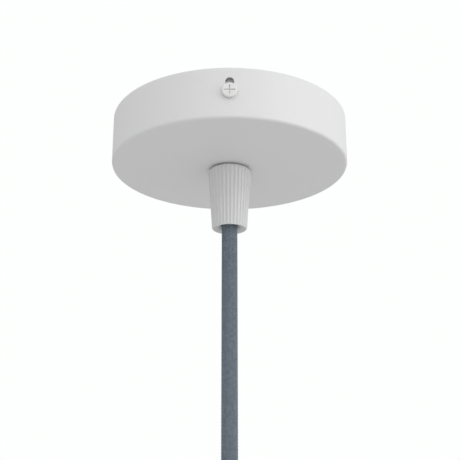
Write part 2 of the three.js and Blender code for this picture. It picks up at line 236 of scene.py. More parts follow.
# three's centripetal Catmull-Rom, so that the wires run as they do in the CAD model
def spline(points, per=14):
    p = [np.array(q, float) for q in points]
    out = []
    for i in range(len(p) - 1):
        p1, p2 = p[i], p[i + 1]
        p0 = p[i - 1] if i else 2 * p[0] - p[1]
        p3 = p[i + 2] if i + 2 < len(p) else 2 * p[-1] - p[-2]
        d0, d1, d2 = (max(np.sum((b - a) ** 2) ** 0.25, 1e-4) for a, b in ((p0, p1), (p1, p2), (p2, p3)))
        t1 = ((p1 - p0) / d0 - (p2 - p0) / (d0 + d1) + (p2 - p1) / d1) * d1
        t2 = ((p2 - p1) / d1 - (p3 - p1) / (d1 + d2) + (p3 - p2) / d2) * d1
        for k in range(per):
            t = k / per
            out.append(p1 + t1 * t + (-3 * p1 + 3 * p2 - 2 * t1 - t2) * t * t + (2 * p1 - 2 * p2 + t1 + t2) * t ** 3)
    out.append(p[-1])
    return np.array(out)


def frames(line):
    t = np.gradient(line, axis=0)
    t /= np.linalg.norm(t, axis=1)[:, None]
    a = np.array([1.0, 0, 0]) if abs(t[0][0]) < 0.9 else np.array([0, 1.0, 0])
    n = np.cross(t[0], a)
    n /= np.linalg.norm(n)
    ns = [n]
    for i in range(1, len(line)):
        n = ns[-1] - t[i] * np.dot(ns[-1], t[i])
        ns.append(n / np.linalg.norm(n))
    ns = np.array(ns)
    return t, ns, np.cross(t, ns)


def tube(name, line, r, sides=20, ends=0.12, twist=0.0):
    """A round wire along line, with slightly rounded ends. r may be a list. Its UV map has the way
    round in u and the way along, in millimetres, in v."""
    line = np.asarray(line, float)
    t, n, b = frames(line)
    rr = np.full(len(line), r, float) if np.isscalar(r) else np.asarray(r, float)
    line = np.vstack([line[0], line[0] + t[0] * ends, line[1:-1], line[-1] - t[-1] * ends, line[-1]])
    t, n, b = (np.vstack([q[:1], q[:1], q[1:-1], q[-1:], q[-1:]]) for q in (t, n, b))
    rr = np.concatenate([[rr[0] - ends], rr[:-1], rr[-1:], [rr[-1] - ends]])
    along = np.concatenate([[0], np.cumsum(np.linalg.norm(np.diff(line, axis=0), axis=1))])
    a = np.arange(sides) * 2 * math.pi / sides
    verts = []
    for i in range(len(line)):
        w = twist * along[i]
        for q in a:
            verts.append(line[i] + rr[i] * (math.cos(q + w) * n[i] + math.sin(q + w) * b[i]))
    m = len(line)
    faces, uv = [], []
    for i in range(m - 1):
        for j in range(sides):
            k = (j + 1) % sides
            faces.append((i * sides + j, i * sides + k, (i + 1) * sides + k, (i + 1) * sides + j))
            uv += [(j / sides, along[i]), ((j + 1) / sides, along[i]), ((j + 1) / sides, along[i + 1]), (j / sides, along[i + 1])]
    faces.append(tuple(range(sides))[::-1])
    uv += [(0, 0)] * sides
    faces.append(tuple((m - 1) * sides + j for j in range(sides)))
    uv += [(0, along[-1])] * sides
    me = bpy.data.meshes.new(name)
    me.from_pydata((np.array(verts) * MM).tolist(), [], faces)
    layer = me.uv_layers.new(name="uv")
    layer.data.foreach_set("uv", np.array(uv, float).ravel())
    me.update()
    o = link(name, me)
    shade(o, 50)
    outward(o)
    return o


def joined(name, objs):
    """One mesh of several, with their material slots."""
    bpy.ops.object.select_all(action="DESELECT")
    for o in objs:
        o.select_set(True)
    bpy.context.view_layer.objects.active = objs[0]
    bpy.ops.object.join()
    objs[0].name = name
    objs[0].data.name = name
    return objs[0]


def place(o, node, mat=None):
    if mat is not None:
        o.data.materials.clear()
        o.data.materials.append(mat)
    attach(o, "root")
    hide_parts(node)
    return o


# ------------------------------------------------------------------ materials
def material(name, color, rough, metal=0.0, specular=0.5, bumps=(), rough_var=0.0, rough_scale=300.0,
             tint=0.0, tint_scale=200.0, sheen=0.0, sheen_rough=0.5, stretch=(1, 1, 1), coat=0.0, subsurface=0.0):
    """bumps: (scale per metre, height in metres, detail) of each layer of fine relief."""
    m = bpy.data.materials.new(name)
    m.use_nodes = True
    nt = m.node_tree
    nt.nodes.clear()
    out = nt.nodes.new("ShaderNodeOutputMaterial")
    b = nt.nodes.new("ShaderNodeBsdfPrincipled")
    nt.links.new(b.outputs[0], out.inputs["Surface"])
    b.inputs["Base Color"].default_value = (*color, 1)
    b.inputs["Roughness"].default_value = rough
    b.inputs["Metallic"].default_value = metal
    b.inputs["Specular IOR Level"].default_value = specular
    b.inputs["Sheen Weight"].default_value = sheen
    b.inputs["Sheen Roughness"].default_value = sheen_rough
    b.inputs["Coat Weight"].default_value = coat
    if subsurface:
        b.inputs["Subsurface Weight"].default_value = subsurface
        b.inputs["Subsurface Radius"].default_value = (1.0, 0.9, 0.8)
        b.inputs["Subsurface Scale"].default_value = 0.0008
    tc = nt.nodes.new("ShaderNodeTexCoord")
    mp = nt.nodes.new("ShaderNodeMapping")
    mp.inputs["Scale"].default_value = stretch
    nt.links.new(tc.outputs["Object"], mp.inputs["Vector"])
    vec = mp.outputs["Vector"]

    def noise(scale, detail, seed=0.0):
        n = nt.nodes.new("ShaderNodeTexNoise")
        n.noise_dimensions = "4D"
        n.inputs["W"].default_value = seed
        n.inputs["Scale"].default_value = scale
        n.inputs["Detail"].default_value = detail
        n.inputs["Roughness"].default_value = 0.55
        nt.links.new(vec, n.inputs["Vector"])
        return n

    last = None
    for i, (scale, height, detail) in enumerate(bumps):
        n = noise(scale, detail, i * 3.1)
        bp = nt.nodes.new("ShaderNodeBump")
        bp.inputs["Strength"].default_value = 1.0
        bp.inputs["Distance"].default_value = height
        nt.links.new(n.outputs["Fac"], bp.inputs["Height"])
        if last:
            nt.links.new(last.outputs["Normal"], bp.inputs["Normal"])
        last = bp
    if last:
        nt.links.new(last.outputs["Normal"], b.inputs["Normal"])
    if rough_var:
        n = noise(rough_scale, 3, 7.7)
        r = nt.nodes.new("ShaderNodeMapRange")
        r.inputs["From Min"].default_value, r.inputs["From Max"].default_value = 0.3, 0.7
        r.inputs["To Min"].default_value = max(0.03, rough - rough_var)
        r.inputs["To Max"].default_value = min(1.0, rough + rough_var)
        nt.links.new(n.outputs["Fac"], r.inputs["Value"])
        nt.links.new(r.outputs["Result"], b.inputs["Roughness"])
    if tint:
        n = noise(tint_scale, 2, 11.3)
        mx = nt.nodes.new("ShaderNodeMix")
        mx.data_type = "RGBA"
        mx.inputs[6].default_value = (*[c * (1 - tint) for c in color], 1)
        mx.inputs[7].default_value = (*[min(1, c * (1 + tint)) for c in color], 1)
        nt.links.new(n.outputs["Fac"], mx.inputs[0])
        nt.links.new(mx.outputs[2], b.inputs["Base Color"])
    return m, nt, b, last


COAT = material("powder_coat", (0.788, 0.788, 0.789), 0.42, specular=0.45,
                bumps=((260, 0.00006, 1), (1900, 0.000012, 2)), rough_var=0.05, rough_scale=500, tint=0.006)[0]
PLASTIC = material("nylon_white", (0.737, 0.738, 0.741), 0.34, specular=0.5,
                   bumps=((2600, 0.000006, 2),), rough_var=0.05, rough_scale=700, tint=0.006)[0]
ZINC = material("zinc_plate", (0.56, 0.565, 0.57), 0.5, metal=0.45,
                bumps=((500, 0.00002, 3), (5000, 0.000004, 2)), rough_var=0.12, rough_scale=160, tint=0.06, tint_scale=120)[0]
SCREW_WHITE = material("screw_coat", (0.81, 0.81, 0.806), 0.38, specular=0.5,
                       bumps=((1500, 0.00001, 2),), rough_var=0.05, rough_scale=900, tint=0.01, tint_scale=600)[0]
BLOCK = material("polyamide", (0.74, 0.72, 0.66), 0.35, specular=0.5,
                 bumps=((900, 0.000012, 2),), rough_var=0.06, rough_scale=500, tint=0.015, subsurface=0.25)[0]
BRASS = material("brass", (0.70, 0.50, 0.20), 0.28, metal=1.0,
                 bumps=((3000, 0.000004, 2),), rough_var=0.1, rough_scale=700, tint=0.06, stretch=(1, 0.1, 1))[0]
STEEL = material("plain_steel", (0.50, 0.50, 0.51), 0.3, metal=1.0,
                 bumps=((3000, 0.000004, 2),), rough_var=0.1, rough_scale=900, tint=0.06)[0]
SLEEVE = material("shrink_tube", (0.035, 0.036, 0.038), 0.5, specular=0.4,
                  bumps=((700, 0.00003, 2), (3500, 0.000006, 2)), rough_var=0.08, rough_scale=400)[0]
TIN = material("tinned_copper", (0.72, 0.71, 0.69), 0.3, metal=1.0,
               bumps=((2500, 0.000006, 2),), rough_var=0.1, rough_scale=900, tint=0.05)[0]
PVC_BROWN = material("pvc_brown", (0.13, 0.055, 0.025), 0.38, specular=0.5,
                     bumps=((1600, 0.000008, 2),), rough_var=0.05, rough_scale=600, tint=0.03)[0]
PVC_BLUE = material("pvc_blue", (0.03, 0.13, 0.42), 0.38, specular=0.5,
                    bumps=((1600, 0.000008, 2),), rough_var=0.05, rough_scale=600, tint=0.03)[0]
PVC_GREEN = material("pvc_green", (0.06, 0.30, 0.05), 0.38, specular=0.5,
                     bumps=((1600, 0.000008, 2),), rough_var=0.05, rough_scale=600, tint=0.03)[0]
PVC_YELLOW = material("pvc_yellow", (0.75, 0.62, 0.03), 0.38, specular=0.5,
                      bumps=((1600, 0.000008, 2),), rough_var=0.05, rough_scale=600, tint=0.03)[0]
FILLER = material("cord_filler", (0.10, 0.105, 0.11), 0.9, specular=0.2, bumps=((1500, 0.00005, 3),), rough_var=0.05)[0]
THREAD = material("thread_white", (0.62, 0.60, 0.55), 0.85, specular=0.2, bumps=((2500, 0.00004, 3),), tint=0.05)[0]


def braid_material():
    """Yarns side by side in each strand (u across it, v along it in millimetres), a little fuzz, uneven dye and painted
    shade between the yarns.
    """
    m, nt, b, last = material("braid_textile", (0.165, 0.192, 0.222), 0.85, specular=0.2,
                              bumps=((5200, 0.00003, 3),), rough_var=0.08, rough_scale=1500,
                              sheen=0.04, sheen_rough=0.5)
    uv = nt.nodes.new("ShaderNodeUVMap")
    sep = nt.nodes.new("ShaderNodeSeparateXYZ")
    nt.links.new(uv.outputs["UV"], sep.inputs[0])

    def math_node(op, a, b_=None, v=None):
        n = nt.nodes.new("ShaderNodeMath")
        n.operation = op
        nt.links.new(a, n.inputs[0])
        if b_ is not None:
            nt.links.new(b_, n.inputs[1])
        if v is not None:
            n.inputs[1].default_value = v
        return n.outputs[0]

    # four twisted yarns across a strand
    across = math_node("MULTIPLY", sep.outputs[0], v=4 * math.pi)
    yarns = math_node("ABSOLUTE", math_node("SINE", across))
    twist = math_node("ADD", math_node("MULTIPLY", sep.outputs[0], v=4 * 2 * math.pi),
                      math_node("MULTIPLY", sep.outputs[1], v=2 * math.pi * 1.6))
    ply = math_node("MULTIPLY", math_node("SINE", twist), v=0.25)
    height = math_node("ADD", yarns, ply)
    bp = nt.nodes.new("ShaderNodeBump")
    bp.inputs["Distance"].default_value = 0.00007
    bp.inputs["Strength"].default_value = 0.8
    nt.links.new(height, bp.inputs["Height"])
    nt.links.new(last.outputs["Normal"], bp.inputs["Normal"])
    nt.links.new(bp.outputs["Normal"], b.inputs["Normal"])
    # colour: painted shade between yarns, and uneven dye along them
    n = nt.nodes.new("ShaderNodeTexNoise")
    n.inputs["Scale"].default_value = 620
    n.inputs["Detail"].default_value = 3
    spread = nt.nodes.new("ShaderNodeMapRange")
    spread.inputs["From Min"].default_value, spread.inputs["From Max"].default_value = 0.36, 0.64
    tc = nt.nodes.new("ShaderNodeTexCoord")
    nt.links.new(tc.outputs["Object"], n.inputs["Vector"])
    nt.links.new(n.outputs["Fac"], spread.inputs["Value"])
    # dark colour in the gaps between yarns and light colour on their crowns are painted shade; the stretched noise is
    # uneven dye
    yarn_shade_and_dye = math_node("MULTIPLY", yarns, v=0.55)
    yarn_shade_and_dye = math_node("ADD", yarn_shade_and_dye, math_node("MULTIPLY", spread.outputs["Result"], v=0.27))
    mx = nt.nodes.new("ShaderNodeMix")
    mx.data_type = "RGBA"
    mx.clamp_factor = True
    mx.inputs[6].default_value = (0.102, 0.124, 0.150, 1)
    mx.inputs[7].default_value = (0.273, 0.323, 0.380, 1)
    nt.links.new(yarn_shade_and_dye, mx.inputs[0])
    nt.links.new(mx.outputs[2], b.inputs["Base Color"])
    return m


BRAID = braid_material()


# ------------------------------------------------------------------ the braided cord
def braid(name, z_top, z_bot, r_out=CORD_R, carriers=16, lead=25.0, width=1.04, step=0.42, z0=0.0):
    """Strands in both directions, two over and two under, round a plain inner tube."""
    thick = 0.34
    amp = 0.17
    r_mid = r_out - thick / 2 - amp
    n = int(math.ceil((z_top - z_bot) / step))
    z = np.linspace(z_top, z_bot, n + 1)
    t = (z - z0) / lead
    alpha = math.atan(2 * math.pi * r_mid / lead)
    e = np.array([-1.0, -0.62, 0.0, 0.62, 1.0])
    bulge = thick * (np.sqrt(np.clip(1 - e ** 2, 0, 1)) - 0.5)
    bulge[[0, -1]] -= 0.06
    verts, faces, uvs = [], [], []
    for s in (1, -1):
        for i in range(carriers):
            th = 2 * math.pi * i / carriers + s * 2 * math.pi * t
            x = 2 * i + s * 2 * carriers * t          # i + j at the crossings
            h = s * np.cos(2 * math.pi * (x - 0.5) / 4)
            h = np.tanh(1.8 * h) / math.tanh(1.8)
            base = len(verts)
            for k in range(n + 1):
                r0 = r_mid + amp * h[k]
                for q in range(5):
                    off = e[q] * width / 2
                    # across the strand on the cylinder: turn and rise
                    dth = off * math.cos(alpha) / r0
                    dz = -s * off * math.sin(alpha)
                    r = r0 + bulge[q]
                    a = th[k] + dth
                    zz = min(max(z[k] + dz, z_bot), z_top)
                    verts.append((r * math.cos(a), r * math.sin(a), zz))
            along = (z_top - z) / math.cos(alpha)
            for k in range(n):
                for q in range(4):
                    a, b = base + 5 * k + q, base + 5 * k + q + 1
                    c, d = b + 5, a + 5
                    faces.append((a, d, c, b))
                    u0, u1 = (e[q] + 1) / 2, (e[q + 1] + 1) / 2
                    uvs += [(u0, along[k]), (u0, along[k + 1]), (u1, along[k + 1]), (u1, along[k])]
    me = bpy.data.meshes.new(name)
    me.from_pydata((np.array(verts) * MM).tolist(), [], faces)
    layer = me.uv_layers.new(name="uv")
    layer.data.foreach_set("uv", np.array(uvs, float).ravel())
    me.update()
    o = link(name, me)
    shade(o)
    o.data.materials.append(BRAID)
    core = lathe(name + "_core", [(0, z_bot + 0.05), (r_mid - 0.12, z_bot + 0.05), (r_mid - 0.12, z_top - 0.05), (0, z_top - 0.05)], 32)
    core.data.uv_layers.new(name="uv")
    core.data.materials.append(FILLER)
    return joined(name, [o, core])


cord = braid("lamp_cord", CORD_JOIN - GAP / 2, CORD_END)
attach(cord, "root")
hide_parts("cord_free")

sleeve = lathe("lamp_cord_sleeve", [
    (CORD_R + GAP, -177.0), (CORD_R + GAP + 0.42, -176.95), (CORD_R + GAP + 0.5, -176.75),
    (CORD_R + GAP + 0.5, -172.5), (CORD_R + GAP + 0.4, -172.28), (CORD_R + 0.05, -172.2), (CORD_R + 0.02, -177.0)],
    72, closed=True, smooth=60)
place(sleeve, "cord_end_sleeve", SLEEVE)

Z0 = CORD_TOP + GAP
START = ((-1.3, 0.75), (0.0, -1.5), (1.3, 0.75))
NAMES = ("live", "neutral", "earth")
PVC = {"live": (PVC_BROWN,), "neutral": (PVC_BLUE,), "earth": (PVC_GREEN, PVC_YELLOW)}
ZL = CORD_END - GAP


def insulate(o, kind, sides):
    """One colour, or green with two yellow stripes along the wire."""
    for m in PVC[kind]:
        o.data.materials.append(m)
    if kind == "earth":
        n = len(o.data.polygons) - 2
        wide = max(2, sides // 5)
        for p in o.data.polygons:
            j = p.index % sides if p.index < n else -1
            p.material_index = 1 if 0 <= j < wide or sides // 2 <= j < sides // 2 + wide else 0
    return o


lower = []
for i, kind in enumerate(NAMES):
    x, y = START[i]
    pts = [(x * k, y * k, ZL - d) for k, d in ((1, 0), (1.02, 3), (1.5, 8), (2.1, 13), (2.5, 17))]
    o = tube(f"core_end_{kind}", spline(pts, 10), CORE_R, 20, twist=0.12)
    insulate(o, kind, 20)
    place(o, f"core_lower_{kind}")
    d = np.array((x * 0.4, y * 0.4, -4.0))
    d /= np.linalg.norm(d)
    e = np.array(pts[-1]) + d * GAP * 1.4
    k = np.array([0, 0.25, 0.6, 1.2, 1.25, 1.75, 1.8, 2.3, 2.35, 2.85, 2.9, 3.4, 3.45, 4.0, 5.9, 6.0])
    r = np.array([0.84, 0.85, 0.85, 0.85, 0.74, 0.74, 0.85, 0.85, 0.74, 0.74, 0.85, 0.85, 0.74, 0.74, 0.80, 0.76])
    f = tube(f"ferrule_end_{kind}", e + k[:, None] * d, r, 24, ends=0.04)
    place(f, f"ferrule_lower_{kind}", TIN)
    lower += [o, f]

inner = braid("lamp_cord_inner", CORD_TOP, CORD_JOIN + GAP / 2, z0=0.0)
place(inner, "cord_inner")

# upper cores, from the cut end of the braid to the clamps
ye, zp = BLOCK_Y0 + 1, POLE_Z
ROUTES = (
    [(-1.3, 0.75, Z0), (-1.35, 0.8, Z0 + 1.5), (-2.2, 3.0, -9.8), (-5.0, 8.0, -7.4), (-8.6, 14.0, -6.6), (-10, 18.5, zp), (-10, ye, zp)],
    [(0, -1.5, Z0), (0, -1.5, Z0 + 2.5), (0, -0.6, -8.9), (0, 2.4, -6.4), (0, 7.0, -5.9), (0, 14.0, -6.3), (0, 18.5, zp), (0, ye, zp)],
    [(1.3, 0.75, Z0), (1.35, 0.8, Z0 + 1.5), (2.2, 3.0, -9.8), (5.0, 8.0, -7.4), (8.6, 14.0, -6.6), (10, 18.5, zp), (10, ye, zp)],
)


def ferrule_profile(length):
    k = np.array([0, 0.3, 1.0, 1.05, 1.6, 1.65, 2.3, 2.35, 2.9, 2.95, 3.6, 3.65, 4.2, 4.25, length - 0.1, length])
    r = np.array([0.84, 0.85, 0.85, 0.75, 0.75, 0.85, 0.85, 0.75, 0.75, 0.85, 0.85, 0.75, 0.75, 0.82, 0.82, 0.78])
    return k, r


for i, kind in enumerate(NAMES):
    o = tube(f"core_top_{kind}", spline(ROUTES[i], 14), CORE_R, 20, twist=0.1)
    insulate(o, kind, 20)
    place(o, f"core_upper_{kind}")
    k, r = ferrule_profile(6.5)
    start = np.array((POLE_X[i], ye + GAP, zp))
    f = tube(f"ferrule_top_{kind}", start + k[:, None] * np.array((0, 1.0, 0)), r, 24, ends=0.04)
    place(f, f"ferrule_upper_{kind}", TIN)

LEAD = [
    (6.9, EARTH_Y, -3.7), (11.5, EARTH_Y, -3.75), (15.5, EARTH_Y + 2.2, -4.6), (17.4, EARTH_Y + 7, -6.0),
    (17.6, 0, -6.9), (17.4, 14, -6.9), (17.3, 28, -6.6), (17.2, 38, zp), (15.6, 42.6, zp), (13.2, 43.6, zp),
    (10.8, 42.4, zp), (10, 39.6, zp), (10, BLOCK_Y1 - 1, zp)]
o = tube("earth_wire", spline(LEAD, 10), CORE_R, 20, twist=0.06)
insulate(o, "earth", 20)
place(o, "earth_lead")
k, r = ferrule_profile(6.3)
f = tube("ferrule_earth", np.array((10, BLOCK_Y1 - 1 - GAP, zp)) + k[:, None] * np.array((0, -1.0, 0)), r, 24, ends=0.04)
place(f, "ferrule_earth_lead", TIN)


# ------------------------------------------------------------------ the cover
def cover():
    n = 256
    edge = 0.18
    z_lo, z_hi = -COVER_H + COVER_FILLET, -0.35
    rows = np.linspace(z_lo, z_hi, 19)
    ro, ri = COVER_R, COVER_R - COVER_T
    rc, zc = COVER_R - COVER_FILLET, -COVER_H + COVER_FILLET
    prof = []
    # closed section, in the order: hole edge, bottom outside, fillet, wall up, rim, wall down, inside fillet, floor
    prof += [(COVER_HOLE_R, -COVER_H + 0.15), (COVER_HOLE_R + 0.04, -COVER_H + 0.04), (COVER_HOLE_R + 0.15, -COVER_H)]
    prof += [(r, -COVER_H) for r in (8, 12, 18, 26, 34, 42, 50, 56)]
    prof += arc(rc, zc, COVER_FILLET, -math.pi / 2, 0, 10)
    o0 = len(prof) - 1
    prof += [(ro, z) for z in rows[1:]]
    o1 = len(prof) - 1
    prof += [(ro - 0.05, -0.14), (ro - 0.16, -0.03), (ro - 0.32, 0.0), (ri + 0.25, 0.0), (ri + 0.08, -0.06)]
    i0 = len(prof)
    prof += [(ri, z) for z in rows[::-1]]
    i1 = len(prof) - 1
    prof += arc(rc, zc, COVER_FILLET - COVER_T, 0, -math.pi / 2, 5)[1:]
    prof += [(r, -COVER_H + COVER_T) for r in (56, 50, 42, 34, 26, 18, 12, 8)]
    prof += [(COVER_HOLE_R + 0.15, -COVER_H + COVER_T), (COVER_HOLE_R + 0.04, -COVER_H + COVER_T - 0.04), (COVER_HOLE_R, -COVER_H + COVER_T - 0.15)]
    K = len(prof)
    th = np.arange(n) * 2 * math.pi / n
    verts = [(r * math.cos(a), r * math.sin(a), z) for r, z in prof for a in th]
    half, a_row, b_row = 6, 2, len(rows) - 3        # cells of the slot patch, rows from the bottom
    centres = (3 * n // 4, n // 4)                  # -Y and +Y

    def in_patch(j):
        return any((j - (c - half)) % n < 2 * half for c in centres)

    faces = []
    for k in range(K):
        k2 = (k + 1) % K
        for j in range(n):
            outer_wall = o0 + a_row <= k < o0 + b_row
            inner_wall = i0 + (len(rows) - 1 - b_row) <= k < i0 + (len(rows) - 1 - a_row)
            if (outer_wall or inner_wall) and in_patch(j):
                continue
            j2 = (j + 1) % n
            faces.append((k * n + j, k * n + j2, k2 * n + j2, k2 * n + j))
    spine = (SLOT_BOTTOM + SLOT_W / 2, SLOT_TOP - SLOT_W / 2)
    w = SLOT_W / 2

    def loop_for(c, shell):
        """Grid vertices round the patch, anticlockwise seen from outside, as (vertex, s, z)."""
        row = (lambda q: o0 + q) if shell == "outer" else (lambda q: i0 + len(rows) - 1 - q)
        r = ro if shell == "outer" else ri
        cells = []
        for q in range(a_row, b_row):                       # up the +s side
            cells.append((half, q))
        for d in range(half, -half, -1):                    # along the top
            cells.append((d, b_row))
        for q in range(b_row, a_row, -1):
            cells.append((-half, q))
        for d in range(-half, half):
            cells.append((d, a_row))
        return [(row(q) * n + (c + d) % n, d * 2 * math.pi / n * r, rows[q]) for d, q in cells]

    def foot(s, z):
        """Nearest point of the slot's middle line, and the way out from it."""
        zs = min(max(z, spine[0]), spine[1])
        d = np.array((s, z - zs))
        return zs, d / np.linalg.norm(d)

    for c in centres:
        edge_rings = {}
        for shell, r, sign in (("outer", ro, -1), ("inner", ri, 1)):
            loop = loop_for(c, shell)
            m = len(loop)
            th0 = c * 2 * math.pi / n
            ring = [v for v, _, _ in loop]
            rings = [ring]
            for kind, t in (("mix", 0.35), ("mix", 0.6), ("mix", 0.8), ("mix", 0.93), ("edge", (edge, 0.0)), ("edge", (0.3 * edge, 0.25 * edge)), ("edge", (0.0, edge))):
                new = []
                for _, s, z in loop:
                    zs, d = foot(s, z)
                    if kind == "mix":
                        p = (1 - t) * np.array((s, z)) + t * (np.array((0, zs)) + d * (w + edge))
                        rad = r
                    else:
                        p = np.array((0, zs)) + d * (w + t[0])
                        rad = r + sign * t[1]
                    a = th0 + p[0] / r
                    new.append(len(verts))
                    verts.append((rad * math.cos(a), rad * math.sin(a), p[1]))
                rings.append(new)
            for ra, rb in zip(rings[:-1], rings[1:]):
                for q in range(m):
                    q2 = (q + 1) % m
                    f = (ra[q], ra[q2], rb[q2], rb[q])
                    faces.append(f if shell == "outer" else f[::-1])
            edge_rings[shell] = rings[-1]
        a, b = edge_rings["outer"], edge_rings["inner"]
        for q in range(len(a)):
            q2 = (q + 1) % len(a)
            faces.append((a[q], a[q2], b[q2], b[q]))
    o = mesh_object("cover_shell", verts, faces, 60)
    import bmesh
    bm = bmesh.new()
    bm.from_mesh(o.data)
    bmesh.ops.recalc_face_normals(bm, faces=bm.faces)
    bm.to_mesh(o.data)
    bm.free()
    shade(o, 60)
    return outward(o)


place(cover(), "canopy_cover", COAT)


# ------------------------------------------------------------------ the bracket
def bracket():
    e, t, R, r = STRIP_END, STRIP_T, STRIP_BEND, STRIP_BEND - STRIP_T
    outline = [(-e, STRIP_LEG), (-e + t, STRIP_LEG)]
    outline += arc(-e + R, -R, r, math.pi, math.pi / 2, 8)
    outline += arc(e - R, -R, r, math.pi / 2, 0, 8)
    outline += [(e - t, STRIP_LEG), (e, STRIP_LEG)]
    outline += arc(e - R, -R, R, 0, math.pi / 2, 12)
    outline += arc(-e + R, -R, R, math.pi / 2, math.pi, 12)
    # u is y, v is z, the depth is x
    o = prism("strap", outline, STRIP_W, ((0, 0, 1), (1, 0, 0), (0, 1, 0)))
    moved(o, -STRIP_W / 2)
    c, w = 4.5, STRIP_W / 2
    end = [(w, 1), (-w, 1)] + arc(-w + c, STRIP_LEG + c, c, math.pi, 1.5 * math.pi, 12) + arc(w - c, STRIP_LEG + c, c, 1.5 * math.pi, 2 * math.pi, 12)
    keep = prism("keep", end, 130, ((1, 0, 0), (0, 0, -1), (0, 1, 0)))
    moved(keep, 0, 65, 0)
    boolean(o, [keep], "INTERSECT")
    cut = []
    for s in (1, -1):
        ob = arc(0, 53 - 2, 2, 0, math.pi, 14) + arc(0, 41 + 2, 2, math.pi, 2 * math.pi, 14)
        p = prism("slot", [(u, s * v) for u, v in ob], 4)
        cut.append(moved(p, 0, 0, -3))
    cut.append(cyl("h", 2.3, -3, 1, 40, 0, EARTH_Y))
    cut.append(cyl("h", 1.5, -3, 1, 32, -5, (BLOCK_Y0 + BLOCK_Y1) / 2))
    cut.append(cyl_y("h", 2.0, -60, -54, 0, SCREW_Z, 40))
    cut.append(cyl_y("h", 2.0, 54, 60, 0, SCREW_Z, 40))
    boolean(o, cut)
    return rounded(o, 0.16, 30, 2, 35)


place(bracket(), "ceiling_bracket", ZINC)


# ------------------------------------------------------------------ screws
def thread_shape(r_major, pitch, depth, z_in, z_out):
    def shape(t, r, z):
        if abs(r - r_major) > 1e-6 or not (min(z_in, z_out) < z < max(z_in, z_out)):
            return r
        ph = ((z - t / (2 * math.pi) * pitch) / pitch) % 1
        tri = abs(2 * ph - 1)
        cut = depth * (1 - min(1, max(0, (tri - 0.08) / 0.84)))
        fade = min(1, (z - min(z_in, z_out)) / (0.6 * pitch), (max(z_in, z_out) - z) / (0.6 * pitch))
        return r - cut * fade
    return shape


def pan_screw(name, head_r, head_h, shank_r, length, pitch, slot_w, slot_d, cross, seg=64, side=0.28, round_=0.48):
    """Head below height 0, threaded shank above it."""
    edge = head_h * side
    prof = [(0, -head_h)]
    for i in range(13):
        a = math.pi / 2 * i / 12
        prof.append((head_r * (1 - round_ + round_ * math.sin(a)), -head_h + (head_h - edge) * (1 - math.cos(a))))
    prof += [(head_r, -0.12), (head_r - 0.1, 0), (shank_r, 0)]
    tip = length - shank_r * 0.35
    rows = int((tip - 0.15) / (pitch / 8))
    prof += [(shank_r, z) for z in np.linspace(0.15, tip, rows)]
    prof += [(shank_r * 0.62, length), (0, length)]
    o = lathe(name, prof, seg, shape=thread_shape(shank_r, pitch, pitch * 0.5, 0.1, tip + 0.05), smooth=50)
    h = head_r * (0.92 if side < 0.5 else 0.72)
    cutters = [block("c", -h, h, -slot_w / 2, slot_w / 2, -head_h - 1, -head_h + slot_d)]
    if cross:
        cutters.append(block("c", -slot_w / 2, slot_w / 2, -cross, cross, -head_h - 1, -head_h + slot_d))
    boolean(o, cutters)
    shade(o, 38)
    return o


front = pan_screw("side_screw_a", 3.55, 1.5, 1.7, 8, 0.6, 0.5, 0.7, 2.3, 96, 0.7, 0.16)
turned(front, ((1, 0, 0), (0, 0, 1), (0, -1, 0)))
moved(front, 0, -COVER_R - GAP, SCREW_Z)
rear = link("side_screw_b", front.data.copy())
turned(rear, ((-1, 0, 0), (0, -1, 0), (0, 0, 1)))
place(front, "side_screw_front", SCREW_WHITE)
place(rear, "side_screw_rear", SCREW_WHITE)

Z_RING = -STRIP_T - GAP
Z_WASHER = Z_RING - 0.8 - GAP
Z_HEAD = Z_WASHER - 0.6 - GAP
o = pan_screw("bond_screw", 3.9, 2.4, 1.95, -Z_HEAD - 0.3, 0.7, 0.7, 0.9, 2.2)
place(moved(o, 0, EARTH_Y, Z_HEAD), "earth_screw", ZINC)

w = lathe("bond_washer", [(2.3, Z_WASHER - 0.6), (4.3, Z_WASHER - 0.6), (4.3, Z_WASHER), (2.3, Z_WASHER)], 64, closed=True, smooth=30)
notches = []
for i in range(8):
    b = block("n", 3.5, 5, -0.35, 0.35, Z_WASHER - 2, Z_WASHER + 1)
    a = i * math.pi / 4
    turned(b, ((math.cos(a), -math.sin(a), 0), (math.sin(a), math.cos(a), 0), (0, 0, 1)))
    notches.append(b)
boolean(w, notches)
shade(w, 30)
place(moved(w, 0, EARTH_Y), "earth_washer", ZINC)


def cyl_x(name, r, x0, x1, z, seg=40):
    o = lathe(name, [(0, x0), (r, x0), (r, x1), (0, x1)], seg)
    turned(o, ((0, 0, 1), (0, 1, 0), (-1, 0, 0)))
    return moved(o, 0, 0, z)


eye = cyl("bond_eye", 4.2, Z_RING - 0.8, Z_RING, 64)
boolean(eye, [block("neck", 3, 6, -1.5, 1.5, Z_RING - 0.8, Z_RING), cyl_x("barrel", 1.75, 5.4, 11.0, -3.7)], "UNION")
boolean(eye, [cyl_x("bore", CORE_R + GAP, 6.6, 11.6, -3.7), cyl("hole", 2.3, -5, 0, 48),
              block("crimp", 7.6, 8.3, -3, 3, -5.7, -5.2), block("crimp", 9.2, 9.9, -3, 3, -5.7, -5.2)])
rounded(eye, 0.08, 35, 2, 35)
place(moved(eye, 0, EARTH_Y), "earth_ring_terminal", TIN)

# ------------------------------------------------------------------ the cord grip
B = -COVER_H - GAP


